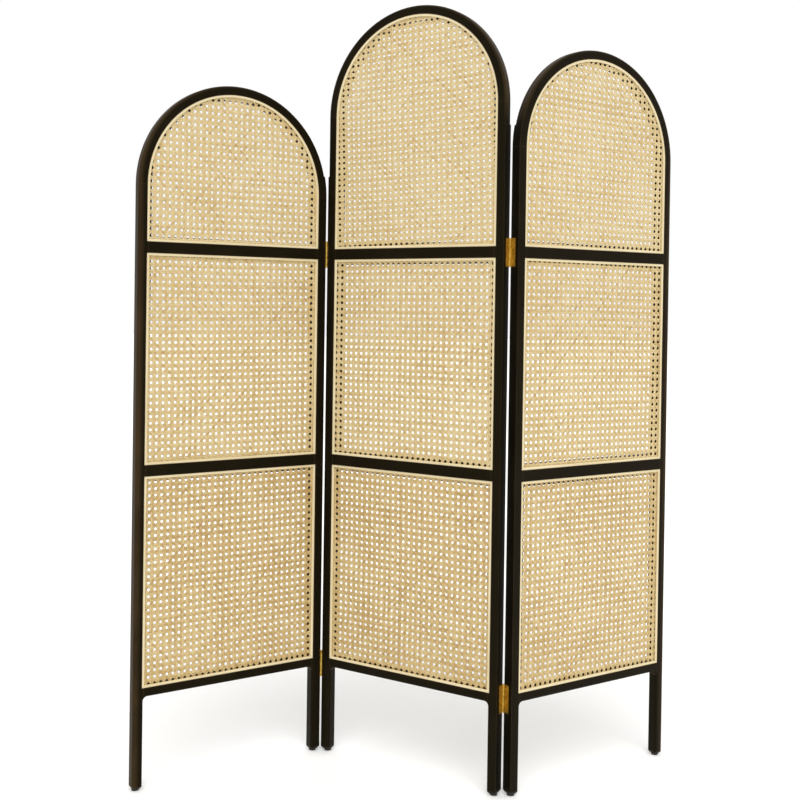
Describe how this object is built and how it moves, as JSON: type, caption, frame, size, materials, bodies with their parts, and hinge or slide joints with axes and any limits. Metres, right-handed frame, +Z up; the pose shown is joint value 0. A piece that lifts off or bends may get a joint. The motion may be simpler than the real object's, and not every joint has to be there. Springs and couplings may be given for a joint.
{
  "type": "folding room divider screen",
  "caption": "Folding screen of arched wooden panels in stepped heights, filled with open cane webbing and joined in a zigzag by brass butt hinges.",
  "frame": {"origin": "on the floor under the middle of the centre panel, which is also the middle of the whole zigzag's footprint", "axes": "+Z up, +X along the line of the screen from the left panel to the right panel, -Y towards the front, the side that shows the beads"},
  "size_m": [1.2596, 0.2912, 1.8],
  "materials": {
    "painted_frame": "satin brown-black paint on close-grained wood",
    "cane_webbing": "natural six-way woven cane, slightly glossy skin",
    "pale_bead": "bare pale wood, lightly sealed",
    "hinge_brass": "aged, mottled",
    "brass_screws": "aged",
    "dowel_wood": "bare beech",
    "glide_plastic": "moulded, satin"
  },
  "bodies": {
    "left_panel": {"left_left_stile": "painted_frame", "left_right_stile": "painted_frame", "left_arch": "painted_frame", "left_bottom_rail": "painted_frame", "left_middle_rail": "painted_frame", "left_upper_rail": "painted_frame", "left_lower_cane": "cane_webbing", "left_middle_cane": "cane_webbing", "left_upper_cane": "cane_webbing", "left_lower_bead": "pale_bead", "left_middle_bead": "pale_bead", "left_upper_bead": "pale_bead", "left_cane_stops": "painted_frame", "left_dowels": "dowel_wood", "left_glides": "glide_plastic", "left_hinge_screws": "brass_screws", "left_fold_lower_hinge_outer_leaf": "hinge_brass", "left_fold_upper_hinge_outer_leaf": "hinge_brass"},
    "centre_panel": {"centre_left_stile": "painted_frame", "centre_right_stile": "painted_frame", "centre_arch": "painted_frame", "centre_bottom_rail": "painted_frame", "centre_middle_rail": "painted_frame", "centre_upper_rail": "painted_frame", "centre_lower_cane": "cane_webbing", "centre_middle_cane": "cane_webbing", "centre_upper_cane": "cane_webbing", "centre_lower_bead": "pale_bead", "centre_middle_bead": "pale_bead", "centre_upper_bead": "pale_bead", "centre_cane_stops": "painted_frame", "centre_dowels": "dowel_wood", "centre_glides": "glide_plastic", "centre_hinge_screws": "brass_screws", "left_fold_lower_hinge_centre_leaf": "hinge_brass", "left_fold_lower_hinge_pin": "hinge_brass", "left_fold_upper_hinge_centre_leaf": "hinge_brass", "left_fold_upper_hinge_pin": "hinge_brass", "right_fold_lower_hinge_centre_leaf": "hinge_brass", "right_fold_lower_hinge_pin": "hinge_brass", "right_fold_upper_hinge_centre_leaf": "hinge_brass", "right_fold_upper_hinge_pin": "hinge_brass"},
    "right_panel": {"right_left_stile": "painted_frame", "right_right_stile": "painted_frame", "right_arch": "painted_frame", "right_bottom_rail": "painted_frame", "right_middle_rail": "painted_frame", "right_upper_rail": "painted_frame", "right_lower_cane": "cane_webbing", "right_middle_cane": "cane_webbing", "right_upper_cane": "cane_webbing", "right_lower_bead": "pale_bead", "right_middle_bead": "pale_bead", "right_upper_bead": "pale_bead", "right_cane_stops": "painted_frame", "right_dowels": "dowel_wood", "right_glides": "glide_plastic", "right_hinge_screws": "brass_screws", "right_fold_lower_hinge_outer_leaf": "hinge_brass", "right_fold_upper_hinge_outer_leaf": "hinge_brass"}
  },
  "joints": [
    {"name": "left_fold", "type": "hinge", "parent": "centre_panel", "child": "left_panel", "pos_m": [-0.21139, 0.12235, 0.7165], "axis": [0, 0, 1], "range_deg": [-67.4, 112.6]},
    {"name": "right_fold", "type": "hinge", "parent": "centre_panel", "child": "right_panel", "pos_m": [0.21139, -0.12235, 0.7165], "axis": [0, 0, 1], "range_deg": [-67.4, 112.6]}
  ]
}
